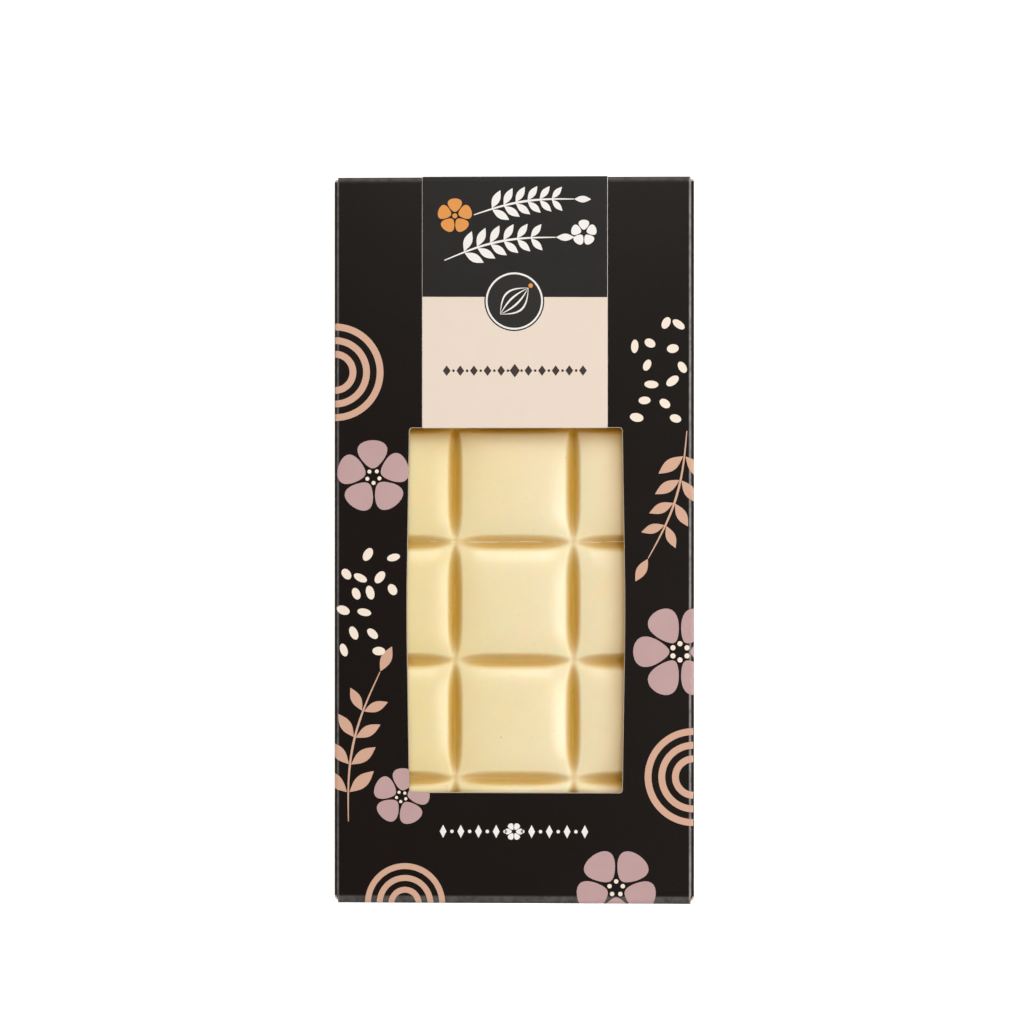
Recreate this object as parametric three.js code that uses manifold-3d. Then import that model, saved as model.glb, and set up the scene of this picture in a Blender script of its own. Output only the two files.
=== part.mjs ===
// A white chocolate bar in a flat black card carton, with a window in its front and a paper label
// over its top end. Millimetres, lying on its back: +Z out of the front, +Y to the labelled end.
import * as THREE from 'three';
import { mergeVertices } from 'three/addons/utils/BufferGeometryUtils.js';
import Module from 'manifold-3d';

const wasm = await Module();
wasm.setup();

// Carton
const cartonWidth = 79.3;
const cartonLength = 160;
const cartonDepth = 10;
const card = 0.45;
const foldRadius = 0.9; // outer radius of the folds
const dustFoldTop = 0.55; // those of the dust flaps: sharp at the labelled end
const dustFoldFoot = 1.2; // and looser at the other
const slip = 0.05; // air between sheets that lie on each other
const endPanelInset = 0.8; // bare strip beside an end panel
const dustFlapLength = 26;
const tuckFlapLength = 15;
const glueFlapWidth = 12;
const backEdgeInset = 0.2; // the back's raw edge, from the glued side
const backEndInset = 0.7; // the back's raw ends, from the end panels' faces
const backCornerRadius = 1;
const seamHeight = 2; // where the glued side's two stretches join
const arcSteps = 3;
const beyond = 1; // how far a cutting shape runs past what it cuts

// Window in the front, its long sides bowed outwards
const windowCentreX = 0.4;
const windowHalfWidth = 23.4;
const windowBow = 0.55;
const windowTop = 24.7;
const windowBottom = -55.5;
const windowCornerRadius = 0.7;

// Label: one strip of paper from the window, over the top end, onto the back
const paper = 0.12;
const labelWidth = 40.9;
const labelCentreX = 0.2;
const labelFrontEnd = 24.95;
const labelBackEnd = 58;

// Chocolate bar: square pads parted by lens-shaped grooves
const padsAcross = 3;
const padsAlong = 6;
const padPitch = 26.1;
const barCentreX = -0.05;
const barCentreY = -0.4;
const barHeight = 7.4;
const edgeTrim = 1.1; // the outer pads are this much short of a full pitch
const edgeDraft = 1;
const edgeRound = 1.1;
const grooveDepth = 2.4; // at the middle of a pad's side
const crossingDepth = 0.1; // where four pads meet
const crossingReach = 0.94; // how much of the way to a crossing a groove keeps its own depth
const grooveWallSlope = 3;
const grooveBottomRound = 1.1;
const grooveShoulder = 0.7;
const grooveBlend = 0.3; // how softly two grooves run together
const padDome = 0.1; // a pad's fall from its middle to the middle of its side
const padRoll = 0.5; // how far it rolls over as well towards a groove, within the reach
const padRollReach = 2.2;
const grooveSteps = [0.4, 0.8, 1.2, 1.6, 2, 3, 6.5];
const edgeSteps = [edgeDraft, 1.4, 2.2, 3.4, 6.5];

// Solids: closed meshes that can be joined and cut

function toSolid(geometry) {
  geometry.deleteAttribute('normal');
  geometry.deleteAttribute('uv');
  const merged = mergeVertices(geometry, 1e-4);
  return new wasm.Manifold(
    new wasm.Mesh({
      numProp: 3,
      vertProperties: new Float32Array(merged.attributes.position.array),
      triVerts: new Uint32Array(merged.index.array),
    }),
  );
}

function toGeometry(solid) {
  const mesh = solid.getMesh();
  const geometry = new THREE.BufferGeometry();
  geometry.setAttribute('position', new THREE.BufferAttribute(mesh.vertProperties, 3));
  geometry.setIndex(new THREE.BufferAttribute(mesh.triVerts, 1));
  geometry.computeVertexNormals();
  return geometry;
}

function extruded(shape, depth) {
  return new THREE.ExtrudeGeometry(shape, { depth, bevelEnabled: false, curveSegments: arcSteps });
}

// A plan outline (x, y) as a slab between two heights
function slabUp(shape, bottom, top) {
  return toSolid(extruded(shape, top - bottom).translate(0, 0, bottom));
}

// A section (x, z) run along the pack's length, so far to its foot and so far to its top
function runAlong(shape, toFoot, toTop) {
  const footHalf = extruded(shape, toFoot).rotateX(Math.PI / 2);
  const topHalf = extruded(shape, toTop).rotateX(Math.PI / 2).translate(0, toTop, 0);
  return toSolid(footHalf).add(toSolid(topHalf));
}

// A section (y, z) run across the pack's width
function runAcross(shape, centreX, halfWidth) {
  const turn = new THREE.Matrix4().makeBasis(
    new THREE.Vector3(0, 1, 0),
    new THREE.Vector3(0, 0, 1),
    new THREE.Vector3(1, 0, 0),
  );
  const geometry = extruded(shape, 2 * halfWidth).applyMatrix4(turn);
  return toSolid(geometry.translate(centreX - halfWidth, 0, 0));
}

// Sections and outlines

// A sheet folded round right angles, all to the left: `corners` are on its outer face, and
// `radii` are those of its folds
function foldedSheet(corners, thickness, radii) {
  const points = corners.map(([u, v]) => new THREE.Vector2(u, v));
  const headings = points.slice(1).map((point, i) => point.clone().sub(points[i]).normalize());
  const inward = headings.map((heading) => new THREE.Vector2(-heading.y, heading.x));
  const folds = headings.slice(1).map((next, i) => ({
    centre: points[i + 1]
      .clone()
      .addScaledVector(headings[i], -radii[i])
      .addScaledVector(inward[i], radii[i]),
    start: Math.atan2(-inward[i].y, -inward[i].x),
    radius: radii[i],
  }));
  const first = points[0];
  const last = points[points.length - 1];
  const firstInside = first.clone().addScaledVector(inward[0], thickness);
  const lastInside = last.clone().addScaledVector(inward[inward.length - 1], thickness);

  const shape = new THREE.Shape();
  shape.moveTo(first.x, first.y);
  for (const { centre, start, radius } of folds) {
    shape.lineTo(centre.x + radius * Math.cos(start), centre.y + radius * Math.sin(start));
    shape.absarc(centre.x, centre.y, radius, start, start + Math.PI / 2, false);
  }
  shape.lineTo(last.x, last.y);
  shape.lineTo(lastInside.x, lastInside.y);
  for (const { centre, start, radius } of [...folds].reverse()) {
    shape.absarc(centre.x, centre.y, radius - thickness, start + Math.PI / 2, start, true);
  }
  shape.lineTo(firstInside.x, firstInside.y);
  return shape;
}

function rectangle(left, bottom, right, top, radius = 0) {
  const shape = new THREE.Shape();
  if (radius === 0) {
    shape.moveTo(left, bottom);
    shape.lineTo(right, bottom);
    shape.lineTo(right, top);
    shape.lineTo(left, top);
    return shape;
  }
  shape.moveTo(left + radius, bottom);
  shape.lineTo(right - radius, bottom);
  shape.absarc(right - radius, bottom + radius, radius, -Math.PI / 2, 0, false);
  shape.absarc(right - radius, top - radius, radius, 0, Math.PI / 2, false);
  shape.absarc(left + radius, top - radius, radius, Math.PI / 2, Math.PI, false);
  shape.absarc(left + radius, bottom + radius, radius, Math.PI, 1.5 * Math.PI, false);
  return shape;
}

function windowOutline() {
  const left = windowCentreX - windowHalfWidth;
  const right = windowCentreX + windowHalfWidth;
  const middle = (windowTop + windowBottom) / 2;
  const radius = windowCornerRadius;
  const shape = new THREE.Shape();
  shape.moveTo(left + radius, windowBottom);
  shape.lineTo(right - radius, windowBottom);
  shape.quadraticCurveTo(right, windowBottom, right, windowBottom + radius);
  shape.splineThru([
    new THREE.Vector2(right + windowBow, middle),
    new THREE.Vector2(right, windowTop - radius),
  ]);
  shape.quadraticCurveTo(right, windowTop, right - radius, windowTop);
  shape.lineTo(left + radius, windowTop);
  shape.quadraticCurveTo(left, windowTop, left, windowTop - radius);
  shape.splineThru([
    new THREE.Vector2(left - windowBow, middle),
    new THREE.Vector2(left, windowBottom + radius),
  ]);
  shape.quadraticCurveTo(left, windowBottom, left + radius, windowBottom);
  return shape;
}

// Carton: one sheet of card folded into a tube, with tucked ends hinged on the front

const foldedCard = (corners, radii = corners.map(() => foldRadius)) =>
  foldedSheet(corners, card, radii);

function makeCarton() {
  const side = cartonWidth / 2;
  const end = cartonLength / 2;
  const endHalfWidth = side - endPanelInset;
  const dustEnd = end - card - 2 * slip; // outer face of the dust flaps, behind the end panels
  const tubeFoot = dustEnd - dustFoldFoot;
  const tubeTop = dustEnd - dustFoldTop;
  const backEnd = end - backEndInset;
  const overBack = card + slip; // underside of what is tucked in over the back panel

  // back, right side, front and left side, down to the fold of the glue flap
  const wrap = foldedCard([
    [backEdgeInset - side, 0],
    [side, 0],
    [side, cartonDepth],
    [-side, cartonDepth],
    [-side, seamHeight],
  ]);
  const glueFold = (reach) =>
    foldedCard([
      [-side, seamHeight + slip],
      [-side, card - slip],
      [reach - side, card - slip],
    ]);
  const back = rectangle(2 * backEdgeInset - side, -backEnd, endHalfWidth, backEnd, backCornerRadius);

  // front, both end panels and the flaps tucked in over the back
  const tuck = end - tuckFlapLength;
  const frontAndEnds = foldedCard([
    [tuck, overBack],
    [end, overBack],
    [end, cartonDepth],
    [-end, cartonDepth],
    [-end, overBack],
    [-tuck, overBack],
  ]);

  // each side with its two dust flaps, clear of the tucked flap and of the front
  const dust = side - dustFlapLength;
  const dustCorners = [
    [dust, -dustEnd],
    [side, -dustEnd],
    [side, dustEnd],
    [dust, dustEnd],
  ];
  const rightSide = foldedCard(dustCorners, [dustFoldFoot, dustFoldTop]);
  const leftSide = foldedCard(dustCorners.map(([x, y]) => [-x, -y]), [dustFoldTop, dustFoldFoot]);
  const flapBottom = overBack + card + slip;
  const flapTop = cartonDepth - card - slip;

  // where the label lies on the back, the card gives way by the label's thickness
  const bedLeft = labelCentreX - labelWidth / 2 - slip;
  const bedRight = labelCentreX + labelWidth / 2 + slip;
  const labelBed = rectangle(bedLeft, labelBackEnd - slip, bedRight, end + beyond);

  return [
    runAlong(glueFold(foldRadius + slip), tubeFoot, tubeTop),
    runAlong(glueFold(glueFlapWidth), tuck - beyond, tuck - beyond),
    slabUp(back, 0, card),
    runAcross(frontAndEnds, 0, endHalfWidth),
    slabUp(rightSide, flapBottom, flapTop),
    slabUp(leftSide, flapBottom, flapTop),
  ]
    .reduce((carton, piece) => carton.add(piece), runAlong(wrap, tubeFoot, tubeTop))
    .subtract(slabUp(labelBed, -beyond, paper + slip))
    .subtract(slabUp(windowOutline(), cartonDepth - card - beyond, cartonDepth + beyond));
}

// Label: a strip that follows the front, the end panel and the back

function makeLabel() {
  const lift = paper + slip;
  const front = cartonDepth + lift;
  const end = cartonLength / 2 + lift;
  const strip = foldedSheet(
    [[labelBackEnd, 0], [end, 0], [end, front], [labelFrontEnd, front]],
    paper,
    [foldRadius + lift, foldRadius + lift],
  );
  return runAcross(strip, labelCentreX, labelWidth / 2);
}

// Chocolate bar

// How far the groove lies below the pads, `across` from its centre line and `along` from the
// middle of a pad's side: it swells from a point where pads meet to full depth between them
function grooveBelow(along, across) {
  const out = Math.abs(2 * along / padPitch) / crossingReach;
  const swell = Math.max(1 - out ** 2.4, 0);
  const floor = crossingDepth + (grooveDepth - crossingDepth) * swell;
  const rise = grooveWallSlope * (Math.hypot(across, grooveBottomRound) - grooveBottomRound);
  const below = floor - rise;
  if (below <= -grooveShoulder) return 0;
  if (below >= grooveShoulder) return below;
  return (below + grooveShoulder) ** 2 / (4 * grooveShoulder);
}

// How far a pad's own top has fallen: a low dome, rolled over beside the grooves
function padFall(h, v) {
  const dome = padDome * (h.toMiddle ** 2 + v.toMiddle ** 2) / (padPitch / 2) ** 2;
  const rolls = [h, v].map(({ toGroove }) => 1 / (1 + Math.abs(toGroove / padRollReach) ** 3));
  return dome + padRoll * Math.hypot(...rolls);
}

// Height of the drafted, rounded outer edge, `inside` the outline
function edgeHeight(inside) {
  if (inside >= edgeDraft + edgeRound) return barHeight;
  if (inside <= edgeDraft) return (barHeight - edgeRound) * inside / edgeDraft;
  const left = 1 - (inside - edgeDraft) / edgeRound;
  return barHeight - edgeRound * (1 - Math.sqrt(1 - left ** 2));
}

// Positions across the bar: close together at edges and grooves, wide apart on the pads
function stations(pads) {
  const half = pads * padPitch / 2;
  const list = [];
  for (let i = 0; i < pads; i += 1) {
    const low = i === 0 ? edgeTrim - half : i * padPitch - half;
    const high = i === pads - 1 ? half - edgeTrim : (i + 1) * padPitch - half;
    const lowSteps = i === 0 ? edgeSteps : grooveSteps;
    const highSteps = i === pads - 1 ? edgeSteps : grooveSteps;
    list.push(low, ...lowSteps.map((step) => low + step), (low + high) / 2);
    list.push(...[...highSteps].reverse().map((step) => high - step));
    if (i === pads - 1) list.push(high);
  }
  return list;
}

// Distances from `at` to the nearest groove line and to the middle of the pad it is on
function placeOnPads(at, pads) {
  const fromEdge = at / padPitch + pads / 2;
  const line = Math.min(Math.max(Math.round(fromEdge), 1), pads - 1);
  const pad = Math.min(Math.max(Math.floor(fromEdge), 0), pads - 1);
  return {
    toGroove: (fromEdge - line) * padPitch,
    toMiddle: (fromEdge - pad - 0.5) * padPitch,
    inside: pads * padPitch / 2 - edgeTrim - Math.abs(at),
  };
}

function barSurface(x, y) {
  const h = placeOnPads(x, padsAcross);
  const v = placeOnPads(y, padsAlong);
  const edge = Math.min(edgeHeight(h.inside), edgeHeight(v.inside));
  const lengthwise = grooveBelow(v.toMiddle, h.toGroove);
  const crosswise = grooveBelow(h.toMiddle, v.toGroove);
  const blend = Math.hypot(lengthwise - crosswise, grooveBlend) - grooveBlend;
  const groove = (lengthwise + crosswise + blend) / 2;
  return edge * (1 - (groove + padFall(h, v)) / barHeight);
}

function makeBar() {
  const xs = stations(padsAcross);
  const ys = stations(padsAlong);
  const positions = ys.flatMap((y) => xs.flatMap((x) => [x, y, barSurface(x, y)]));
  const at = (i, j) => j * xs.length + i;
  const faces = [];
  for (let j = 0; j < ys.length - 1; j += 1) {
    for (let i = 0; i < xs.length - 1; i += 1) {
      faces.push(at(i, j), at(i + 1, j), at(i + 1, j + 1));
      faces.push(at(i, j), at(i + 1, j + 1), at(i, j + 1));
    }
  }

  // the flat underside closes the outline, which the surface meets at zero height
  const outline = [
    ...xs.slice(0, -1).map((x, i) => at(i, 0)),
    ...ys.slice(0, -1).map((y, j) => at(xs.length - 1, j)),
    ...xs.slice(1).map((x, i) => at(xs.length - 1 - i, ys.length - 1)),
    ...ys.slice(1).map((y, j) => at(0, ys.length - 1 - j)),
  ];
  const flat = outline.map((k) => new THREE.Vector2(positions[3 * k], positions[3 * k + 1]));
  for (const [a, b, c] of THREE.ShapeUtils.triangulateShape(flat, [])) {
    faces.push(outline[a], outline[c], outline[b]);
  }

  const geometry = new THREE.BufferGeometry();
  geometry.setAttribute('position', new THREE.Float32BufferAttribute(positions, 3));
  geometry.setIndex(faces);
  geometry.computeVertexNormals();
  return geometry;
}

// The pack

function named(name, geometry, color, roughness) {
  const material = new THREE.MeshStandardMaterial({ color, roughness, metalness: 0 });
  const mesh = new THREE.Mesh(geometry, material);
  mesh.name = name;
  return mesh;
}

const carton = named('carton', toGeometry(makeCarton()), 0x24201d, 0.75);
const label = named('label', toGeometry(makeLabel()), 0xf0ddcf, 0.6);
const bar = named('chocolate_bar', makeBar(), 0xf2dfab, 0.4);
bar.position.set(barCentreX, barCentreY, 2 * (card + slip)); // on the tucked and glued flaps

const pack = new THREE.Group();
pack.add(carton, label, bar);

export default pack;
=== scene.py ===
import math
import random

import bmesh
import bpy
from mathutils import Matrix, Vector


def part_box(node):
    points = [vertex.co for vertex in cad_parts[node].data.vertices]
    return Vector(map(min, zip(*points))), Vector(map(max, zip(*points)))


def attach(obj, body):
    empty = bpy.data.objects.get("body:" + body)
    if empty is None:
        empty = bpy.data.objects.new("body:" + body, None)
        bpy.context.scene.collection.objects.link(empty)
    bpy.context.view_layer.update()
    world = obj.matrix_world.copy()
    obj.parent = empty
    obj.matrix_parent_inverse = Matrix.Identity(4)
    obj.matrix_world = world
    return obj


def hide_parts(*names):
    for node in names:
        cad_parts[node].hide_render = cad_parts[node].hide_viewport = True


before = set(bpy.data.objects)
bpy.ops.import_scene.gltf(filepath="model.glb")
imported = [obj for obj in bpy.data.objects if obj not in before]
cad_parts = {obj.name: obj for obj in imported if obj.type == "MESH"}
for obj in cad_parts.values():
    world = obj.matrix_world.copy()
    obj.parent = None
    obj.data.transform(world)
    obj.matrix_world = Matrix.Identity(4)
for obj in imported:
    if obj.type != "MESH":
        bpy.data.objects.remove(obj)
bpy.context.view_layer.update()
mm = 0.001  # shapes are drawn in millimetres and scaled once, when a piece is finished


def millimetres(node):
    low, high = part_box(node)
    return low / mm, high / mm


cartonLow, cartonHigh = millimetres("carton")
labelLow, labelHigh = millimetres("label")
barLow, barHigh = millimetres("chocolate_bar")

# The sheet that everything printed lies on. u runs across and v along the front, from its middle,
# and both run on round the folds. lift is the height above the card.
card = {
    "thickness": 0.45,
    "foldRadius": 0.9,
    "foldSteps": 6,
    "labelBed": labelHigh.z - cartonHigh.z,  # the card gives way by this under the label's tail
    "filmThickness": 0.015,  # a coat of ink
}

window = {
    "centreX": 0.4,
    "halfWidth": 23.4,  # at its top and bottom
    "bow": 0.55,  # how much further out its sides reach at half its height
    "top": 24.7,
    "bottom": -55.5,
    "cutBevel": 0.13,
    "chords": 8,  # straight stretches in each bowed side
}


def windowHalfWidth(v):
    middle = (window["top"] + window["bottom"]) / 2
    along = (v - middle) / (window["top"] - middle)
    return window["halfWidth"] + window["bow"] * (1 - along * along)


def insideWindow(u, v, margin):
    if not window["bottom"] - margin < v < window["top"] + margin:
        return False
    return abs(u - window["centreX"]) < windowHalfWidth(v) + margin


def roundFolds(along, reach, back, lift):
    # a place along the sheet becomes (out from the middle, height), round both folds
    radius = card["foldRadius"]
    flat = reach - radius
    quarter = radius * math.pi / 2
    wall = cartonHigh.z - back - 2 * radius
    past = abs(along) - flat
    bend = radius + lift
    if past <= 0:
        out, height = abs(along), cartonHigh.z + lift
    elif past <= quarter:
        turn = past / radius
        out, height = flat + bend * math.sin(turn), cartonHigh.z - radius + bend * math.cos(turn)
    elif past <= quarter + wall:
        out, height = reach + lift, cartonHigh.z - radius - (past - quarter)
    elif past <= 2 * quarter + wall:
        turn = (past - quarter - wall) / radius
        out, height = flat + bend * math.cos(turn), back + radius - bend * math.sin(turn)
    else:
        out, height = flat - (past - 2 * quarter - wall), back - lift
    return math.copysign(out, along), height


def foldPlaces(reach, back):
    # where the sheet needs a cut, so that it can bend with the card's own facets
    quarter = card["foldRadius"] * math.pi / 2
    starts = [reach - card["foldRadius"]]
    starts.append(starts[0] + quarter + cartonHigh.z - back - 2 * card["foldRadius"])
    steps = card["foldSteps"]
    return [start + quarter * i / steps for start in starts for i in range(steps + 1)]


def cutAcross(bm, place, direction):
    geometry = bm.verts[:] + bm.edges[:] + bm.faces[:]
    bmesh.ops.bisect_plane(bm, geom=geometry, dist=1e-5, plane_co=place, plane_no=direction)


def foldRound(bm, back=0.0):
    # the flat drawing, with lift as its height, is laid round the pack
    for sign in (-1, 1):
        for place in foldPlaces(cartonHigh.x, 0.0):
            cutAcross(bm, (sign * place, 0, 0), (1, 0, 0))
        for place in foldPlaces(cartonHigh.y, back):
            cutAcross(bm, (0, sign * place, 0), (0, 1, 0))
    for vert in bm.verts:
        u, v, lift = vert.co
        x, heightAcross = roundFolds(u, cartonHigh.x, 0.0, lift)
        y, heightAlong = roundFolds(v, cartonHigh.y, back, lift)
        vert.co = (x, y, heightAcross + heightAlong - cartonHigh.z - lift)


def layOnBack(bm):
    for vert in bm.verts:
        vert.co = (-vert.co.x, vert.co.y, -vert.co.z)


def thicken(bm, thickness):
    made = bmesh.ops.extrude_face_region(bm, geom=bm.faces[:], use_keep_orig=True)
    raised = [item for item in made["geom"] if isinstance(item, bmesh.types.BMVert)]
    bmesh.ops.translate(bm, vec=(0, 0, thickness), verts=raised)


def finishPiece(bm, name, materials, replaced=None):
    bmesh.ops.recalc_face_normals(bm, faces=bm.faces[:])
    bmesh.ops.scale(bm, vec=(mm, mm, mm), verts=bm.verts[:])
    mesh = bpy.data.meshes.new(name)
    bm.to_mesh(mesh)
    bm.free()
    for material in materials:
        mesh.materials.append(material)
    piece = bpy.data.objects.new(name, mesh)
    bpy.context.scene.collection.objects.link(piece)
    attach(piece, "root")
    if replaced:
        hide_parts(replaced)
    return piece


# Materials

class Value:  # a node's output that takes part in plain sums
    def __init__(self, finish, socket):
        self.finish = finish
        self.socket = socket

    def maths(self, operation, first, second=0.0):
        return self.finish.node("ShaderNodeMath", {"operation": operation}, {0: first, 1: second})

    def __add__(self, other):
        return self.maths("ADD", self, other)

    def __radd__(self, other):
        return self.maths("ADD", other, self)

    def __sub__(self, other):
        return self.maths("SUBTRACT", self, other)

    def __rsub__(self, other):
        return self.maths("SUBTRACT", other, self)

    def __mul__(self, other):
        return self.maths("MULTIPLY", self, other)

    def __rmul__(self, other):
        return self.maths("MULTIPLY", other, self)

    def __abs__(self):
        return self.maths("ABSOLUTE", self)

    def clamped(self):
        return self.finish.node("ShaderNodeClamp", {}, {0: self})


class Finish:  # one material and the nodes that feed its shader
    def __init__(self, name, **shader):
        self.material = bpy.data.materials.new(name)
        self.material.use_nodes = True
        self.nodes = self.material.node_tree.nodes
        self.links = self.material.node_tree.links
        self.shader = self.nodes["Principled BSDF"]
        for key, value in shader.items():
            self.feed(key, value)

    def feed(self, key, value):
        self.plug(self.shader.inputs[key.replace("_", " ")], value)

    def plug(self, socket, value):
        if isinstance(value, Value):
            self.links.new(value.socket, socket)
        else:
            socket.default_value = value

    def node(self, kind, settings, sockets, output=0):
        made = self.nodes.new(kind)
        for key, value in settings.items():
            setattr(made, key, value)
        for key, value in sockets.items():
            self.plug(made.inputs[key], value)
        return Value(self, made.outputs[output])

    def place(self):  # object coordinates in millimetres
        here = self.node("ShaderNodeTexCoord", {}, {}, "Object")
        return self.node("ShaderNodeMapping", {}, {"Vector": here, "Scale": [1 / mm] * 3})

    def axes(self):
        here = self.place()
        return [self.node("ShaderNodeSeparateXYZ", {}, {0: here}, axis) for axis in "XYZ"]

    def noise(self, size, detail=2.0, roughness=0.5):  # size of one blotch, in millimetres
        sockets = {"Vector": self.place(), "Scale": 1 / size, "Detail": detail, "Roughness": roughness}
        return self.node("ShaderNodeTexNoise", {}, sockets)

    def attribute(self, name):  # a value worked out on the piece's own mesh
        return self.node("ShaderNodeAttribute", {"attribute_name": name}, {}, "Fac")

    def mix(self, factor, first, second):
        return self.node("ShaderNodeMix", {"data_type": "RGBA"}, {0: factor, 6: first, 7: second}, 2)

    def ramp(self, value, low, high):  # 0 at low, 1 at high, and level beyond them
        sockets = {"Value": value, "From Min": low, "From Max": high}
        return self.node("ShaderNodeMapRange", {"interpolation_type": "SMOOTHSTEP"}, sockets)

    def bump(self, height, depth, strength=1.0):  # depth of the relief in millimetres
        sockets = {"Height": height, "Distance": depth * mm, "Strength": strength}
        return self.node("ShaderNodeBump", {}, sockets)


def shade(hexColour):  # a colour as it looks on a screen, as the shader takes it
    parts = [int(hexColour[i:i + 2], 16) / 255 for i in (0, 2, 4)]
    linear = [part / 12.92 if part <= 0.04045 else ((part + 0.055) / 1.055) ** 2.4 for part in parts]
    return (*linear, 1.0)


cardLook = {
    "black": "17110d",
    "faded": "1b1511",
    "blotch": 14.0,
    # the next ones paint highlight along the folds, with some rubbed ink
    "foldSheenAndWorn": "a09a97",
    "foldSheenAndWear": 0.9,
    "foldSheenAndWearPatches": 1.6,
    "foldSheenAndWearLine": (1.24, 0.94, 0.74, 0.54),  # in from a side: begins, is full, begins to fade, ends
    "foldSheenAndWearShift": 0.06,  # both lines lie this far to the left
    # the left fold's painted highlight is weaker, as the light comes from the right
    "foldSheenOnLeft": 0.4,  # as a share of the right side's
    "foldSheenAndWearDepth": (0.4, 0.2),  # under a face: begins, is full
    "topSheenAndWear": (1.5, 0.2, 0.3),  # in from the top: begins, is full, and how strong it is
    "footSheenAndWear": (1.95, 1.4, 0.28),
    "grainSize": 0.28,
    "grainDepth": 0.012,
    "roughness": 0.3,
    "sheen": 0.15,
}


def printedCard():
    finish = Finish("printedCard", IOR=1.4, Specular_IOR_Level=cardLook["sheen"])
    broad = finish.noise(cardLook["blotch"])
    grain = finish.noise(cardLook["grainSize"], 3.0, 0.6)
    black = finish.mix(broad, shade(cardLook["black"]), shade(cardLook["faded"]))
    x, y, z = finish.axes()
    # pale lines where the sheet begins to bend, at the sides, the top and the foot: painted highlight
    # along the folds, with some rubbed ink; the left one is weaker, as the light comes from the right
    middle = (cartonHigh.z + cartonLow.z) / 2
    nearFace = finish.ramp(abs(z - middle), *(middle - depth for depth in cardLook["foldSheenAndWearDepth"]))
    out = abs(x + cardLook["foldSheenAndWearShift"])
    begins, full, fades, ends = (cartonHigh.x - inside for inside in cardLook["foldSheenAndWearLine"])
    beside = finish.ramp(out, begins, full) * finish.ramp(out, ends, fades)
    onLeft = cardLook["foldSheenOnLeft"]
    beside = beside * (finish.ramp(x, -1.0, 1.0) * (1 - onLeft) + onLeft)
    begins, full, strength = cardLook["topSheenAndWear"]
    atTop = finish.ramp(y, cartonHigh.y - begins, cartonHigh.y - full) * strength
    begins, full, strength = cardLook["footSheenAndWear"]
    atFoot = finish.ramp(y, cartonLow.y + begins, cartonLow.y + full) * strength
    sheenAndRubbed = (beside + atTop + atFoot).clamped() * nearFace
    patches = finish.ramp(finish.noise(cardLook["foldSheenAndWearPatches"], 3.0), 0.2, 0.7)
    sheenAndRubbed = sheenAndRubbed * (patches * 0.5 + 0.5) * cardLook["foldSheenAndWear"]
    finish.feed("Base Color", finish.mix(sheenAndRubbed, black, shade(cardLook["foldSheenAndWorn"])))
    finish.feed("Roughness", grain * 0.16 + (cardLook["roughness"] - 0.08))
    finish.feed("Normal", finish.bump(grain, cardLook["grainDepth"]))
    return finish.material


coreLook = {
    "grey": "b39a83",
    "pale": "e2d2bf",
    "roughness": 0.85,
    "fibreSize": 0.12,
    "fibreDepth": 0.02,
}


def boardCore():
    finish = Finish("boardCore", Roughness=coreLook["roughness"])
    fibres = finish.noise(coreLook["fibreSize"])
    finish.feed("Base Color", finish.mix(fibres, shade(coreLook["grey"]), shade(coreLook["pale"])))
    finish.feed("Normal", finish.bump(fibres, coreLook["fibreDepth"]))
    return finish.material


paperLook = {
    "blotch": 5.0,
    "fibreSize": 0.35,
    "fibreDepth": 0.012,
    "waveSize": 9.0,
    "waveDepth": 0.1,
    "sheen": 0.25,
}


def labelPaper(name, colour, deeper, roughness):
    finish = Finish(name, Roughness=roughness, IOR=1.4, Specular_IOR_Level=paperLook["sheen"])
    fibres = finish.noise(paperLook["fibreSize"], 3.0, 0.6)
    waves = finish.noise(paperLook["waveSize"])
    blotches = finish.noise(paperLook["blotch"], 3.0)
    finish.feed("Base Color", finish.mix(blotches, shade(colour), shade(deeper)))
    relief = fibres * paperLook["fibreDepth"] + waves * paperLook["waveDepth"]
    finish.feed("Normal", finish.bump(relief, 1.0))
    return finish.material


chocolateLook = {
    "cream": "f5e8c6",
    "deeper": "f3e2b8",
    # painted shade: the cream goes darker and yellower towards the left, away from the light
    "leftShadeColour": "ecd9a0",
    "leftShading": (14.0, -24.0, 0.7),  # from this x to this one, and how strong it gets
    # painted shade deep in the grooves, and painted shadow under the card's edge
    "groove": "d0a438",
    "shaded": "b07c08",
    "paleHairline": "fbf0d6",
    "hairlineSpread": (0.16, 0.05),  # out from the hairline's middle: begins, is full
    "hairlineWander": 1.1,
    "hairlineStrength": 0.55,
    "speck": "b9965c",
    "specks": (0.79, 0.82),  # the higher, the fewer
    "speckStrength": 0.4,
    "blotch": 11.0,
    "blotchDepth": 0.25,
    "grain": 0.8,
    "grainDepth": 0.02,
    "roughness": 0.3,
    "roughnessInShade": 0.6,  # added where the card's edge shades it
    "depthOfGlow": 3.0,  # how far light goes in, in millimetres
    "glow": (1.0, 0.75, 0.45),  # red goes furthest
}


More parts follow.
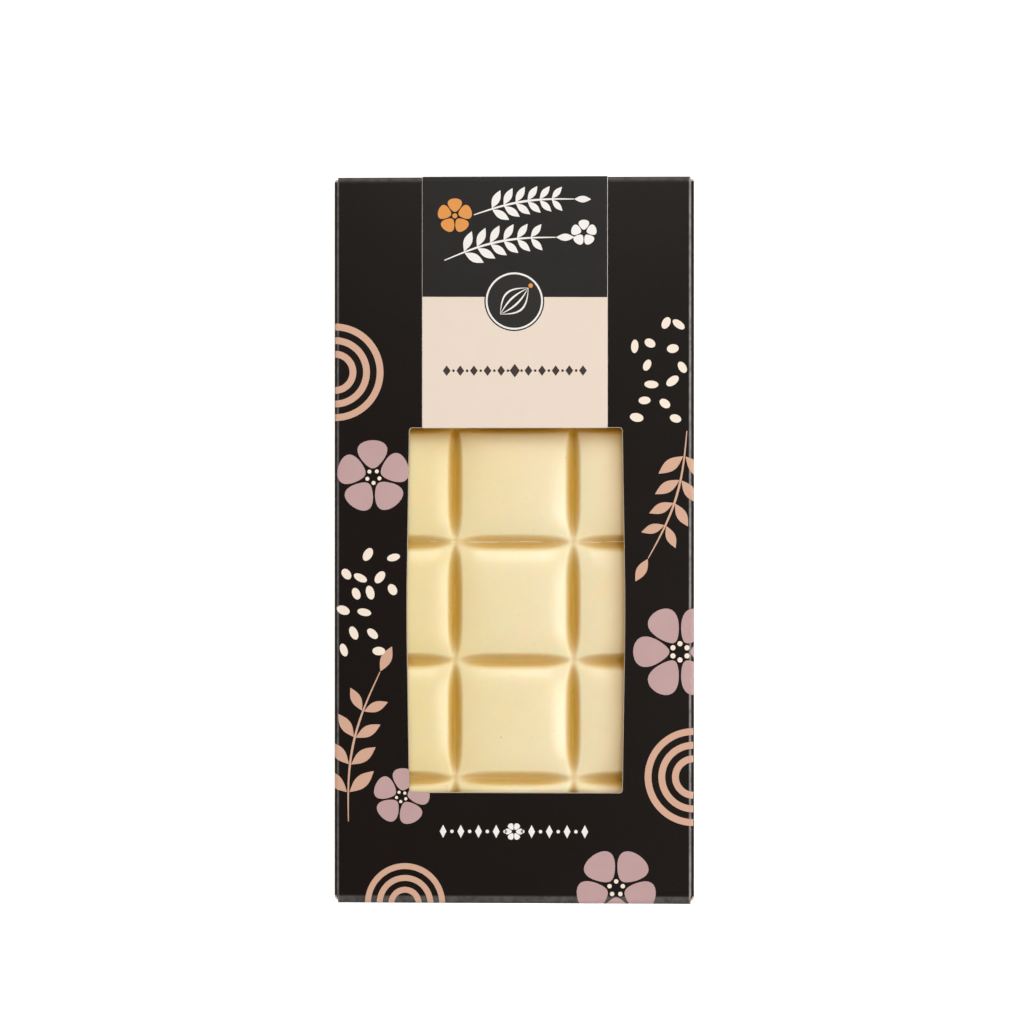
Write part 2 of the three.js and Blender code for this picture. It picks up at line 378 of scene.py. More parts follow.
def whiteChocolate():
    finish = Finish(
        "whiteChocolate",
        IOR=1.46,
        Subsurface_Weight=1.0,
        Subsurface_Radius=chocolateLook["glow"],
        Subsurface_Scale=chocolateLook["depthOfGlow"] * mm,
    )
    broad = finish.noise(chocolateLook["blotch"], 3.0)
    fine = finish.noise(chocolateLook["grain"], 3.0)
    cream = finish.mix(broad, shade(chocolateLook["cream"]), shade(chocolateLook["deeper"]))
    x, y = finish.axes()[:2]
    # painted shade, darker and yellower towards the left
    begins, full, strength = chocolateLook["leftShading"]
    leftShading = finish.ramp(x, begins, full) * strength
    cream = finish.mix(leftShading, cream, shade(chocolateLook["leftShadeColour"]))
    # a pale broken hairline along the middle groove
    wander = (finish.noise(7.0) - 0.5) * chocolateLook["hairlineWander"]
    line = finish.ramp(abs(y - wander - (barLow.y + barHigh.y) / 2), *chocolateLook["hairlineSpread"])
    broken = finish.ramp(finish.noise(5.0), 0.42, 0.55)
    paleHairline = line * broken * chocolateLook["hairlineStrength"]
    specks = finish.ramp(finish.noise(1.1, 1.0), *chocolateLook["specks"])
    specks = specks * chocolateLook["speckStrength"]
    # painted shade: deeper in colour where it lies low in a groove, and painted shadow close under the
    # card's edge
    paintedCardShadow = finish.attribute("underCard")
    cream = finish.mix(finish.attribute("paintedGrooveShade"), cream, shade(chocolateLook["groove"]))
    cream = finish.mix(paintedCardShadow, cream, shade(chocolateLook["shaded"]))
    cream = finish.mix(paleHairline, cream, shade(chocolateLook["paleHairline"]))
    finish.feed("Base Color", finish.mix(specks, cream, shade(chocolateLook["speck"])))
    roughness = fine * 0.14 + (chocolateLook["roughness"] - 0.07)
    finish.feed("Roughness", roughness + paintedCardShadow * chocolateLook["roughnessInShade"])
    relief = fine * chocolateLook["grainDepth"] + broad * chocolateLook["blotchDepth"]
    finish.feed("Normal", finish.bump(relief, 1.0, 0.5))
    return finish.material


# Chocolate bar

bar = {
    "padsAcross": 3,
    "padsAlong": 6,
    "padPitch": 26.1,
    "padDome": 0.1,
    "padRoll": (0.68, 0.76),  # a pad rolls over by this, across and along the bar, within the reach
    "rollReach": 3.5,
    "rollPower": 3,
    "grooveDepth": 2.05,
    "crossingDepth": 0.1,
    "crossingReach": 0.94,  # how much of the way to a crossing a groove keeps its own depth
    "swellPower": 3.8,  # the higher, the flatter a groove's floor
    "wallSlope": 3.0,
    "bottomRound": 1.35,
    "shoulder": 0.9,
    "blend": 0.6,  # how softly two grooves run together
    "edgeDraft": 1.0,
    "edgeRound": 1.1,
    "waves": ((0.31, 0.17), (-0.11, 0.23)),  # each one's turn for a millimetre, across and along
    "unevenness": 0.03,
    "cellsAcross": 168,
    "cellsAlong": 336,
    "crowding": 0.45,  # how much closer the mesh is in the grooves
}

# painted shade in the grooves and painted shadow under the card's edge
barShade = {
    "halfWidth": (1.85, 2.05),  # of the deeper colour in a groove, along and across the bar
    "power": 4,  # the higher, the nearer to a crossing it narrows and fades
    "narrowest": 0.25,  # its width at a crossing, as a share, squared
    "faintest": 0.1,  # its strength there, as a share, squared
    "across": 0.8,  # the grooves that run across are paler
    "shift": 0.3,  # how far it lies towards the foot in the grooves that run across
    "card": (1.25, 0.62),  # how strong the card's shade is, at the window's top and its right
    "cardReach": (2.1, 2.5),
    "cardMost": 0.95,
    "cardInGrooves": 1.0,  # how much more the card shades the grooves
}


def towardsCrossing(along):  # 0 half-way along a pad's side, 1 where its groove gives out
    return abs(2 * along / bar["padPitch"]) / bar["crossingReach"]


def grooveBelow(along, across):
    swell = max(1 - towardsCrossing(along) ** bar["swellPower"], 0.0)
    floor = bar["crossingDepth"] + (bar["grooveDepth"] - bar["crossingDepth"]) * swell
    rise = bar["wallSlope"] * (math.hypot(across, bar["bottomRound"]) - bar["bottomRound"])
    below = floor - rise
    if below <= -bar["shoulder"]:
        return 0.0
    if below >= bar["shoulder"]:
        return below
    return (below + bar["shoulder"]) ** 2 / (4 * bar["shoulder"])


def grooveShade(along, across, halfWidth):  # 1 deep in a groove, 0 outside it, faint at a crossing
    left = 1 - towardsCrossing(along) ** barShade["power"]
    width = halfWidth * max(left, barShade["narrowest"]) ** 0.5
    return max(left, barShade["faintest"]) ** 0.5 * max(1 - (across / width) ** 2, 0.0)


def underCard(x, y):  # 1 where the card's edge keeps the light off, at the top and right of the window
    clear = 1.0
    edges = (window["top"] - y, window["centreX"] + windowHalfWidth(y) - x)
    for inside, strength, reach in zip(edges, barShade["card"], barShade["cardReach"]):
        clear *= 1 - min(strength * math.exp(-inside / reach), barShade["cardMost"])
    return 1 - clear


def padFall(midAcross, midAlong, toAcross, toAlong):
    # a pad's top is a low dome that rolls over towards its grooves
    dome = bar["padDome"] * (midAcross ** 2 + midAlong ** 2) / (bar["padPitch"] / 2) ** 2
    rolls = [
        roll / (1 + abs(at / bar["rollReach"]) ** bar["rollPower"])
        for at, roll in zip((toAcross, toAlong), bar["padRoll"])
    ]
    return dome + math.hypot(*rolls)


def edgeHeight(inside, height):
    draft, radius = bar["edgeDraft"], bar["edgeRound"]
    if inside >= draft + radius:
        return height
    if inside <= draft:
        return max((height - radius) * inside / draft, 0.0)
    left = 1 - (inside - draft) / radius
    return height - radius * (1 - math.sqrt(1 - left * left))


def placeOnPads(at, pads):  # how far it is from the nearest groove and from its pad's middle
    fromEdge = at / bar["padPitch"] + pads / 2
    line = min(max(round(fromEdge), 1), pads - 1)
    pad = min(max(math.floor(fromEdge), 0), pads - 1)
    return (fromEdge - line) * bar["padPitch"], (fromEdge - pad - 0.5) * bar["padPitch"]


def crowd(share, half, pads):  # places the mesh's lines: closer in the grooves, and the last on the rim
    at = share * half
    if abs(share) > 0.9999:
        return at
    pitch = bar["padPitch"]
    turn = 2 * math.pi * (at / pitch + pads / 2)
    crowded = at - bar["crowding"] * pitch / (2 * math.pi) * math.sin(turn)
    return min(max(crowded, -half), half)


def makeBar():
    centre = (barLow + barHigh) / 2
    half = (barHigh - barLow) / 2
    height = barHigh.z - barLow.z
    bm = bmesh.new()
    bmesh.ops.create_grid(bm, x_segments=bar["cellsAcross"], y_segments=bar["cellsAlong"], size=1.0)
    # the painted shade in the grooves and the painted shadow under the card's edge, kept on the mesh
    # for the material
    low = bm.verts.layers.float.new("paintedGrooveShade")
    paintedCardShadow = bm.verts.layers.float.new("underCard")
    for vert in bm.verts:
        x = crowd(vert.co.x, half.x, bar["padsAcross"])
        y = crowd(vert.co.y, half.y, bar["padsAlong"])
        toAcross, midAcross = placeOnPads(x, bar["padsAcross"])
        toAlong, midAlong = placeOnPads(y, bar["padsAlong"])
        edge = min(edgeHeight(half.x - abs(x), height), edgeHeight(half.y - abs(y), height))
        first, second = grooveBelow(midAlong, toAcross), grooveBelow(midAcross, toAlong)
        groove = (first + second + math.hypot(first - second, bar["blend"]) - bar["blend"]) / 2
        waves = sum(math.sin(x * across + y * along) - 1 for across, along in bar["waves"])
        uneven = bar["unevenness"] * waves - padFall(midAcross, midAlong, toAcross, toAlong)
        top = edge * (1 - groove / height)
        if not vert.is_boundary:
            top += uneven * edge / height
        vert.co = (centre.x + x, centre.y + y, barLow.z + top)
        # the painted shade that the material reads: in the grooves, and the painted shadow under the
        # card's edge
        lengthwise = grooveShade(midAlong, toAcross, barShade["halfWidth"][0])
        crosswise = grooveShade(midAcross, toAlong + barShade["shift"], barShade["halfWidth"][1])
        vert[low] = max(lengthwise, barShade["across"] * crosswise)
        deeper = 1 + barShade["cardInGrooves"] * vert[low]
        vert[paintedCardShadow] = min(underCard(vert.co.x, vert.co.y) * deeper, barShade["cardMost"])
    rimEdges = [edge for edge in bm.edges if edge.is_boundary]
    bmesh.ops.edgeloop_fill(bm, edges=rimEdges)
    for face in bm.faces:
        face.smooth = True
    finishPiece(bm, "chocolateBar", [whiteChocolate()], "chocolate_bar")


# Carton

cartonEdges = {
    "brinkMargin": 0.05,  # edges of the front this near to the window's outline are its own
    "cutMargin": (0.3, 0.05),  # its cut reaches this far out, and this far under the card
    "endInset": 1.0,  # cut edges that face sideways lie within this of the two ends
    "coreInset": (0.6, 1.6),  # what lies further in than this from a side and an end is inside
    "coreAllowance": 0.02,
    "sharpFrom": 40,  # degrees
}


def showsCore(face):  # the board's core shows where the card is cut, and all over its inside
    middle = face.calc_center_median()
    out, along = cartonHigh.x - abs(middle.x), cartonHigh.y - abs(middle.y)
    behindFront = cartonHigh.z - card["thickness"]
    margin, under = cartonEdges["cutMargin"]
    inWindow = insideWindow(middle.x, middle.y, margin) and middle.z > behindFront - under
    windowCut = inWindow and abs(face.normal.z) < 0.995
    endCut = abs(face.normal.x) > 0.99 and along < cartonEdges["endInset"] and out > 0.1
    backCut = middle.z < card["thickness"] + 0.01 and abs(face.normal.z) < 0.1
    allowance = cartonEdges["coreAllowance"]
    between = card["thickness"] - allowance < middle.z < behindFront + allowance
    within = between and out > cartonEdges["coreInset"][0] and along > cartonEdges["coreInset"][1]
    return windowCut or endCut or backCut or within


def makeCarton():
    bm = bmesh.new()
    bm.from_mesh(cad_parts["carton"].data)
    bmesh.ops.scale(bm, vec=(1 / mm, 1 / mm, 1 / mm), verts=bm.verts[:])
    bmesh.ops.remove_doubles(bm, verts=bm.verts[:], dist=1e-3)
    bmesh.ops.dissolve_limit(bm, angle_limit=math.radians(0.5), verts=bm.verts[:], edges=bm.edges[:])

    def onBrink(vert):
        onFront = vert.co.z > cartonHigh.z - 1e-3
        return onFront and insideWindow(vert.co.x, vert.co.y, cartonEdges["brinkMargin"])

    brink = [edge for edge in bm.edges if all(map(onBrink, edge.verts)) and edge.calc_face_angle(0) > 1]
    bmesh.ops.bevel(
        bm, geom=brink, offset=window["cutBevel"], segments=2, profile=0.5, affect="EDGES", material=-1,
    )
    for face in bm.faces:
        face.material_index = 1 if showsCore(face) else 0
        face.smooth = True
    for edge in bm.edges:
        edge.smooth = edge.calc_face_angle(0) < math.radians(cartonEdges["sharpFrom"])
    piece = finishPiece(bm, "cartonCard", [printedCard(), boardCore()], "carton")
    weighted = piece.modifiers.new("flatPanels", "WEIGHTED_NORMAL")
    weighted.keep_sharp = True
    weighted.weight = 100


# Label

label = {
    "cornerRadius": 0.35,
    "colourBreak": 53.5,  # black above this, off-white below
    "overEdge": 0.3,  # its foot lies this much lower than in the source, just over the window's edge
    "tailEnd": 58.0,  # on the back
    "glueGap": 0.05,
    "edgeShow": 0.11,  # how much of the paper's own edge shows
    "columns": 8,
    "offWhite": ("ecdaca", "e8d5c4"),
    "offWhiteRoughness": 0.6,
    "black": ("1a1614", "201c1a"),
    "blackRoughness": 0.4,
    "core": ("cfc6bf", "e9e1da"),
    "coreRoughness": 0.8,
}


def makeLabel():
    bed, gap = card["labelBed"], label["glueGap"]
    paper = bed - gap
    quarter = card["foldRadius"] * math.pi / 2
    endWall = cartonHigh.z - bed - 2 * card["foldRadius"]
    flat = cartonHigh.y - card["foldRadius"]
    tail = flat - label["tailEnd"]
    foot = labelLow.y - label["overEdge"]
    width = labelHigh.x - labelLow.x
    length = flat - foot + 2 * quarter + endWall + tail
    bm = bmesh.new()
    place = Matrix.Translation(((labelLow.x + labelHigh.x) / 2, foot + length / 2, gap))
    stretch = Matrix.Diagonal((width, length, 1, 1))
    bmesh.ops.create_grid(bm, x_segments=1, y_segments=1, size=0.5, matrix=place @ stretch)
    bmesh.ops.bevel(
        bm, geom=bm.verts[:], offset=label["cornerRadius"], segments=4, profile=0.5,
        affect="VERTICES", material=-1,
    )
    thicken(bm, paper)
    bmesh.ops.recalc_face_normals(bm, faces=bm.faces[:])
    brink = [edge for edge in bm.edges if all(vert.co.z > gap + paper / 2 for vert in edge.verts)]
    bmesh.ops.bevel(
        bm, geom=brink, offset=label["edgeShow"], segments=1, profile=0.5, affect="EDGES", material=-1,
    )
    cutAcross(bm, (0, label["colourBreak"], 0), (0.004, 1, 0))  # printed a little askew
    for i in range(1, label["columns"]):
        cutAcross(bm, (labelLow.x + width * i / label["columns"], 0, 0), (1, 0, 0))
    for face in bm.faces:
        upper = face.calc_center_median().y > label["colourBreak"]
        face.material_index = 2 if face.normal.z < 0.99 else (1 if upper else 0)
    foldRound(bm, bed)
    finishes = [
        labelPaper("labelOffWhite", *label["offWhite"], label["offWhiteRoughness"]),
        labelPaper("labelBlack", *label["black"], label["blackRoughness"]),
        labelPaper("labelEdge", *label["core"], label["coreRoughness"]),
    ]
    finishPiece(bm, "labelPaper", finishes, "label")


# Inks

inks = {  # each a colour and a deeper one
    "mauve": ("c5a3a1", "bb9896"),
    "salmon": ("d9ad94", "d0a389"),
    "cream": ("f8e9d8", "f3e1cd"),
    "white": ("f6f1ec", "eee7e0"),
    "orange": ("e79a4c", "dd8f43"),
    "brown": ("3f322c", "352a25"),
    "label": label["black"],
}

inkLook = {
    "roughness": 0.55,
    "blotch": 6.0,
    "grainShare": 0.6,  # how much of the card's grain shows through
}


def ink(name, colour, deeper):
    finish = Finish(name, Roughness=inkLook["roughness"], IOR=1.4)
    grain = finish.noise(cardLook["grainSize"], 3.0, 0.6)
    blotches = finish.noise(inkLook["blotch"])
    finish.feed("Base Color", finish.mix(blotches, shade(colour), shade(deeper)))
    finish.feed("Normal", finish.bump(grain, cardLook["grainDepth"] * inkLook["grainShare"]))
    return finish.material


inkFinish = {name: ink(name + "Ink", *colours) for name, colours in inks.items()}


# Printed shapes, each drawn flat

def spot(bm, u, v, length, width, turn=0.0, pinch=0.0, swell=0.0, sides=28):
    # an oval whose length lies along turn, in degrees; pinch points its ends and swell widens one
    place = Matrix.Translation((u, v, 0)) @ Matrix.Rotation(math.radians(turn), 4, "Z")
    made = bmesh.ops.create_circle(bm, cap_ends=True, radius=0.5, segments=sides)
    for vert in made["verts"]:
        fuller = 1 - pinch * abs(2 * vert.co.x) ** 2 + swell * 2 * vert.co.x
        vert.co = place @ Vector((vert.co.x * length, vert.co.y * width * fuller, 0))


def lozenge(bm, u, v, length, width):
    spot(bm, u, v, length, width, sides=4)


def stroke(bm, path, width, taper=0.0, steps=24):
    # a ribbon along path, a function of 0 to 1, thinner towards its ends where it tapers
    made = bmesh.ops.create_grid(bm, x_segments=steps, y_segments=1, size=0.5)
    for vert in made["verts"]:
        t = vert.co.x + 0.5
        ahead = path(min(t + 0.01, 1.0)) - path(max(t - 0.01, 0.0))
        sideways = Vector((-ahead.y, ahead.x)).normalized()
        thin = max(1 - taper * abs(2 * t - 1) ** 1.5, 0.08)
        here = path(t) + sideways * (2 * vert.co.y) * width / 2 * thin
        vert.co = (here.x, here.y, 0)


def around(u, v, out, degrees):
    return u + out * math.cos(math.radians(degrees)), v + out * math.sin(math.radians(degrees))


def circling(u, v, radius, start, sweep):
    # a path round (u, v), in degrees
    def path(t):
        return Vector(around(u, v, radius, start + sweep * t))
    return path


def swaying(first, last, sway):
    # a path from first to last that bulges sideways by sway
    a, b = Vector(first), Vector(last)
    sideways = Vector((a.y - b.y, b.x - a.x)).normalized()

    def path(t):
        return a.lerp(b, t) + sideways * sway * math.sin(math.pi * t)
    return path


blossomShape = {  # as shares of its radius
    "petalOut": 0.6,
    "petalLength": 0.76,
    "petalWidth": 1.04,  # where it is 1, petals of even width would just touch
    "petalSwell": 0.4,
    "heartOut": 0.17,
    "heartDot": 0.11,
}


def blossom(petalInk, heartInk, u, v, radius, petals=5, turn=0.0):
    length = radius * blossomShape["petalLength"]
    width = radius * blossomShape["petalWidth"] * math.tan(math.pi / petals)
    dot = radius * blossomShape["heartDot"]
    for i in range(petals):
        angle = turn + 360 * i / petals
        petalAt = around(u, v, radius * blossomShape["petalOut"], angle)
        spot(petalInk, *petalAt, length, width, angle, swell=blossomShape["petalSwell"])
        if heartInk:
            dotAt = around(u, v, radius * blossomShape["heartOut"], angle + 180 / petals)
            spot(heartInk, *dotAt, dot, dot, sides=12)


sprigShape = {  # a leaf's lengths as shares of its size, and places as shares of the stem
    "stemWidth": 0.5,  # in millimetres
    "stemTaper": 0.6,
    "firstPair": 0.18,
    "pairsReach": 0.72,
    "shrink": 0.35,  # how much smaller a leaf gets along the whole stem
    "leafTurn": 48,  # degrees away from the stem
    "leafOut": 0.56,
    "leafWidth": 0.4,
    "leafPinch": 0.75,
    "tipOut": 0.42,
    "tipLeaf": 0.8,
}


def sprig(leafInk, first, last, sway, pairs, leaf):
    # a stem with paired leaves and one at its tip
    def drawLeaf(u, v, size, heading):
        spot(leafInk, u, v, size, size * sprigShape["leafWidth"], heading, sprigShape["leafPinch"])

    path = swaying(first, last, sway)
    stroke(leafInk, path, sprigShape["stemWidth"], sprigShape["stemTaper"])
    for i in range(pairs):
        t = sprigShape["firstPair"] + sprigShape["pairsReach"] * i / pairs
        here, ahead = path(t), path(t + 0.02) - path(t)
        heading = math.degrees(math.atan2(ahead.y, ahead.x))
        size = leaf * (1 - sprigShape["shrink"] * t)
        for sign in (-1, 1):
            angle = heading + sign * sprigShape["leafTurn"]
            drawLeaf(*around(*here, size * sprigShape["leafOut"], angle), size, angle)
    ahead = (path(1.0) - path(0.97)).normalized()
    tip = path(1.0) + ahead * leaf * sprigShape["tipOut"]
    drawLeaf(*tip, leaf * sprigShape["tipLeaf"], math.degrees(math.atan2(ahead.y, ahead.x)))


def rainbow(arcInk, u, v, radii, width, start, sweep):
    for radius in radii:
        stroke(arcInk, circling(u, v, radius, start, sweep), width, steps=40)


riceGrain = {
    "missing": 0.2,  # the share of grains left out
    "wander": 0.2,  # how far one lies off its place, as a share of the spacing
    "length": (2.5, 3.2),
    "width": (1.6, 1.95),
}


def confetti(grainInk, corner, size, spacing, seed):
    # rice grains scattered on an uneven grid, with every other row half a step over
    draw = random.Random(seed)
    wander = riceGrain["wander"]
    for row in range(int(size[1] / spacing)):
        for column in range(int(size[0] / spacing)):
            if draw.random() < riceGrain["missing"]:
                continue
            u = corner[0] + (column + 0.5 * (row % 2) + draw.uniform(-wander, wander)) * spacing
            v = corner[1] + (row + draw.uniform(-wander, wander)) * spacing
            turn = draw.uniform(0, 180)
            length = draw.uniform(*riceGrain["length"])
            width = draw.uniform(*riceGrain["width"])
            spot(grainInk, u, v, length, width, turn, sides=16)


def beading(bm, u, v, places, spacing, bead):  # round beads half-way between a row's places
    for i in range(-places, places):
        spot(bm, u + (i + 0.5) * spacing, v, bead, bead, sides=12)


def leaveWindowClear(bm):
    step = (window["top"] - window["bottom"]) / window["chords"]
    rows = [window["bottom"] + step * i for i in range(window["chords"] + 1)]
    for sign in (-1, 1):
        for low, high in zip(rows, rows[1:]):
            place = Vector((window["centreX"] + sign * windowHalfWidth(low), low, 0))
            other = Vector((window["centreX"] + sign * windowHalfWidth(high), high, 0))
            along = other - place
            cutAcross(bm, place, (-along.y, along.x, 0))
    for v in (window["bottom"], window["top"]):
        cutAcross(bm, (0, v, 0), (0, 1, 0))
    inside = [face for face in bm.faces if insideWindow(*face.calc_center_median()[:2], 0.02)]
    bmesh.ops.delete(bm, geom=inside, context="FACES")


def inkPiece(bm, name, material, lift, onBack=False):
    bmesh.ops.recalc_face_normals(bm, faces=bm.faces[:])
    thicken(bm, card["filmThickness"])
    bmesh.ops.translate(bm, vec=(0, 0, lift), verts=bm.verts[:])
    if onBack:
        layOnBack(bm)
    else:
        foldRound(bm)
    finishPiece(bm, name, [material])


# Print on the card

frontPrint = {
    "blossoms": [  # middle, radius, petals, turn
        (-31.0, 14.0, 8.2, 5, 20),
        (36.5, -24.5, 10.5, 6, 0),
        (22.5, -76.5, 9.0, 5, 54),
        (-24.8, -56.5, 6.4, 5, 10),
    ],
    "sprigs": [  # foot, tip, sway, pairs of leaves, leaf
        ((-36.5, -62.0), (-29.5, -29.0), 2.5, 4, 7.5),
        ((38.0, 24.0), (29.5, -4.0), 2.0, 4, 7.0),
    ],
    "rainbows": [  # middle, radii, width, start, sweep
        (-39.5, 37.0, (4.0, 7.0, 10.0), 1.5, -90, 180),
        (39.5, -52.0, (4.0, 7.0, 10.0), 1.5, 90, 180),
        (-24.0, -80.0, (3.0, 5.6, 8.2), 1.3, 0, 180),
    ],
    "grains": [  # corner, size, spacing, seed
        ((-37.6, -24.0), (13.0, 28.0), 4.1, 3),
        ((26.6, 26.5), (13.0, 26.0), 4.1, 5),
    ],
}

frontRow = {  # a plain ornamental row under the window
    "middle": (0.0, -64.1),
    "places": 4,  # on each side of the blossom
    "spacing": 3.9,
    "blossom": (2.0, 6),
    "lozenge": (1.5, 2.9),
    "bead": 0.8,
}

backPrint = {
    "blossoms": [
        (-20.0, 30.0, 11.0, 6, 0),
        (22.0, -48.0, 9.0, 5, 30),
    ],
    "sprigs": [
        ((28.0, 40.0), (10.0, 8.0), 3.0, 4, 8.0),
        ((-30.0, -60.0), (-12.0, -30.0), -3.0, 4, 8.0),
    ],
    "rainbows": [(0.0, -74.0, (4.0, 7.0, 10.0), 1.5, 0, 180)],
    "grains": [
        ((-30.0, -18.0), (20.0, 24.0), 4.4, 8),
        ((14.0, -28.0), (16.0, 22.0), 4.4, 9),
    ],
}


def drawPrint(layout):
    mauve, salmon, cream = (bmesh.new() for _ in range(3))
    for entry in layout["blossoms"]:
        blossom(mauve, cream, *entry)
    for entry in layout["sprigs"]:
        sprig(salmon, *entry)
    for entry in layout["rainbows"]:
        rainbow(salmon, *entry)
    for entry in layout["grains"]:
        confetti(cream, *entry)
    return mauve, salmon, cream


def makeFrontPrint():
    mauve, salmon, cream = drawPrint(frontPrint)
    for layer in (mauve, salmon, cream):
        leaveWindowClear(layer)
    white = bmesh.new()
    u, v = frontRow["middle"]
    places, spacing = frontRow["places"], frontRow["spacing"]
    for i in range(-places, places + 1):
        if i:
            lozenge(white, u + i * spacing, v, *frontRow["lozenge"])
        else:
            blossom(white, None, u, v, *frontRow["blossom"])
    beading(white, u, v, places, spacing, frontRow["bead"])
    inkPiece(mauve, "printMauve", inkFinish["mauve"], 0.0)
    inkPiece(salmon, "printSalmon", inkFinish["salmon"], 0.0)
    inkPiece(cream, "printCream", inkFinish["cream"], card["filmThickness"])
    inkPiece(white, "printWhite", inkFinish["white"], 0.0)


def makeBackPrint():
    mauve, salmon, cream = drawPrint(backPrint)
    inkPiece(mauve, "backMauve", inkFinish["mauve"], 0.0, True)
    inkPiece(salmon, "backSalmon", inkFinish["salmon"], 0.0, True)
    inkPiece(cream, "backCream", inkFinish["cream"], card["filmThickness"], True)


# Print on the label

labelPrint = {  # u runs from the label's middle
    "sprigs": [  # two rows of leaves that rise to the right
        (-9.0, 71.6, 13.0, 75.0, 1.2, 6, 4.6),
        (-15.5, 61.6, 9.0, 66.6, 1.6, 6, 5.0),
    ],
    "whiteBlossom": (15.2, 67.6, 2.9, 5, 18),
    "orangeBlossom": (-13.2, 71.4, 3.9, 5, 18),
    "orangeHeart": 1.1,
    "medallion": (-0.1, 52.6),  # astride the colour break
    "medallionWidth": 13.2,
    "ringRadius": 6.1,
    "ringWidth": 0.4,
    "podTip": (3.1, 2.9),  # from its middle
    "podBulges": (-2.4, -0.8, 0.8, 2.4),
    "podLine": 0.42,
    "dot": (3.6, 3.4),
    "dotWidth": 1.0,
    "row": 37.3,
    "rowPlaces": 5,
    "rowSpacing": 3.0,
    "rowHeights": (3.0, 2.3),  # the middle lozenge and the others
    "rowWidth": 0.75,  # as a share of the height
    "rowBead": 0.6,
}


def drawMedallion(black, white, orange, u, v):
    # a cocoa pod in a ring
    width, dot = labelPrint["medallionWidth"], labelPrint["dotWidth"]
    spot(black, u, v, width, width, sides=64)
    stroke(white, circling(u, v, labelPrint["ringRadius"], 0, 360), labelPrint["ringWidth"], steps=72)
    out, up = labelPrint["podTip"]
    for bulge in labelPrint["podBulges"]:
        path = swaying((u - out, v - up), (u + out, v + up), bulge)
        stroke(white, path, labelPrint["podLine"], 0.9)
    out, up = labelPrint["dot"]
    spot(orange, u + out, v + up, dot, dot, sides=16)


def makeLabelPrint():
    white, orange, brown, black = (bmesh.new() for _ in range(4))
    middle = (labelLow.x + labelHigh.x) / 2
    for footU, footV, tipU, tipV, *rest in labelPrint["sprigs"]:
        sprig(white, (middle + footU, footV), (middle + tipU, tipV), *rest)
    u, v, *rest = labelPrint["whiteBlossom"]
    blossom(white, None, middle + u, v, *rest)
    u, v, *rest = labelPrint["orangeBlossom"]
    blossom(orange, None, middle + u, v, *rest)
    spot(orange, middle + u, v, labelPrint["orangeHeart"], labelPrint["orangeHeart"], sides=16)
    u, v = labelPrint["medallion"]
    drawMedallion(black, white, orange, middle + u, v)
    # an ornamental rule on the off-white
    v, places, spacing = labelPrint["row"], labelPrint["rowPlaces"], labelPrint["rowSpacing"]
    for i in range(-places, places + 1):
        height = labelPrint["rowHeights"][1 if i else 0]
        lozenge(brown, middle + i * spacing, v, height * labelPrint["rowWidth"], height)
    beading(brown, middle, v, places, spacing, labelPrint["rowBead"])
    onPaper = card["labelBed"]
    inkPiece(black, "labelMedallion", inkFinish["label"], onPaper)
    inkPiece(white, "labelWhite", inkFinish["white"], onPaper + card["filmThickness"])
    inkPiece(orange, "labelOrange", inkFinish["orange"], onPaper + card["filmThickness"])
    inkPiece(brown, "labelBrown", inkFinish["brown"], onPaper)


# Studio

studio = {
    "pixelsPerMillimetre": 4.545,
    "imageSize": 1024,
    "frontCentre": (513.9, 540.2),  # pixel where the middle of the carton's front is seen
    "lens": 120.0,
    "sensor": 36.0,
    "turn": 2.2,  # the camera stands this far to the right of square on, in degrees
    "sky": 0.06,
    "floorSize": 6.0,
    "floorDrop": 0.05,  # in millimetres
    "floorGlow": 0.95,
}

lights = {  # where each stands, how wide it is, its power, and whether it shows in what shines
    "topLight": ((0.0, 0.3, 0.8), 0.14, 1.4, True),
    "sideLight": ((0.3, -0.08, 0.8), 0.14, 1.6, True),
    "lowTopLight": ((0.0, 0.7, 0.45), 0.4, 1.64, True),
    "lowSideLight": ((0.7, 0.0, 0.45), 0.4, 1.64, True),
    "frontLight": ((-0.03, -0.2, 0.9), 0.35, 2.85, False),
}


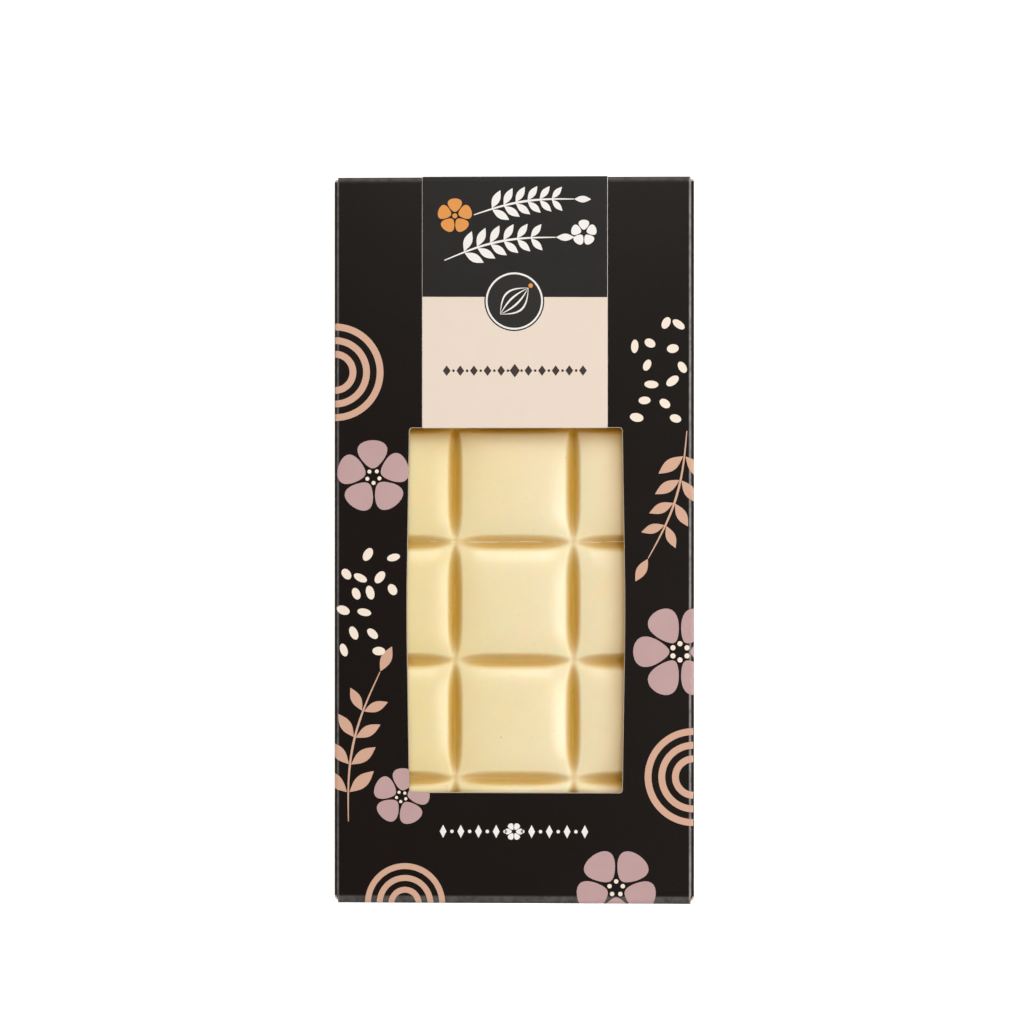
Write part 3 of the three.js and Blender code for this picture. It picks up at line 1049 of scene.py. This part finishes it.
def makeCamera():
    scale = studio["pixelsPerMillimetre"] / mm
    width = studio["imageSize"] / scale
    distance = width * studio["lens"] / studio["sensor"]
    x = (studio["imageSize"] / 2 - studio["frontCentre"][0]) / scale
    y = (studio["frontCentre"][1] - studio["imageSize"] / 2) / scale
    camera = bpy.data.objects.new("camera", bpy.data.cameras.new("camera"))
    camera.data.lens = studio["lens"]
    camera.data.sensor_width = studio["sensor"]
    camera.data.clip_start = 0.01
    turn = math.radians(studio["turn"])
    camera.rotation_euler = (0, turn, 0)
    aim = Vector((x, y, cartonHigh.z * mm))
    camera.location = aim + distance * Vector((math.sin(turn), 0, math.cos(turn)))
    bpy.context.scene.collection.objects.link(camera)
    bpy.context.scene.camera = camera


def makeLight(name, place, size, power, shows):
    lamp = bpy.data.lights.new(name, "AREA")
    lamp.shape = "DISK"
    lamp.size = size
    lamp.energy = power
    light = bpy.data.objects.new(name, lamp)
    light.location = place
    light.visible_glossy = shows
    light.rotation_euler = Vector(place).to_track_quat("Z", "Y").to_euler()
    bpy.context.scene.collection.objects.link(light)


def makeFloor():
    bm = bmesh.new()
    bmesh.ops.create_grid(bm, x_segments=1, y_segments=1, size=studio["floorSize"] / 2)
    bmesh.ops.translate(bm, vec=(0, 0, -studio["floorDrop"] * mm), verts=bm.verts[:])
    mesh = bpy.data.meshes.new("paleFloor")
    bm.to_mesh(mesh)
    bm.free()
    finish = Finish("paleFloor", Roughness=0.9, Emission_Strength=studio["floorGlow"])
    finish.feed("Base Color", (0.9, 0.9, 0.9, 1.0))
    finish.feed("Emission Color", (1.0, 1.0, 1.0, 1.0))
    mesh.materials.append(finish.material)
    floor = bpy.data.objects.new("paleFloor", mesh)
    bpy.context.scene.collection.objects.link(floor)


def makeStudio():
    scene = bpy.context.scene
    scene.view_settings.view_transform = "Standard"
    world = bpy.data.worlds.new("paleRoom")
    world.use_nodes = True
    world.node_tree.nodes["Background"].inputs["Color"].default_value = (1, 1, 1, 1)
    world.node_tree.nodes["Background"].inputs["Strength"].default_value = studio["sky"]
    scene.world = world
    for name, light in lights.items():
        makeLight(name, *light)
    makeFloor()


makeCamera()
makeStudio()
print("studio ready")
makeBar()
print("chocolate bar ready")
makeCarton()
print("carton ready")
makeLabel()
print("label ready")
makeFrontPrint()
makeLabelPrint()
makeBackPrint()
print("print ready")
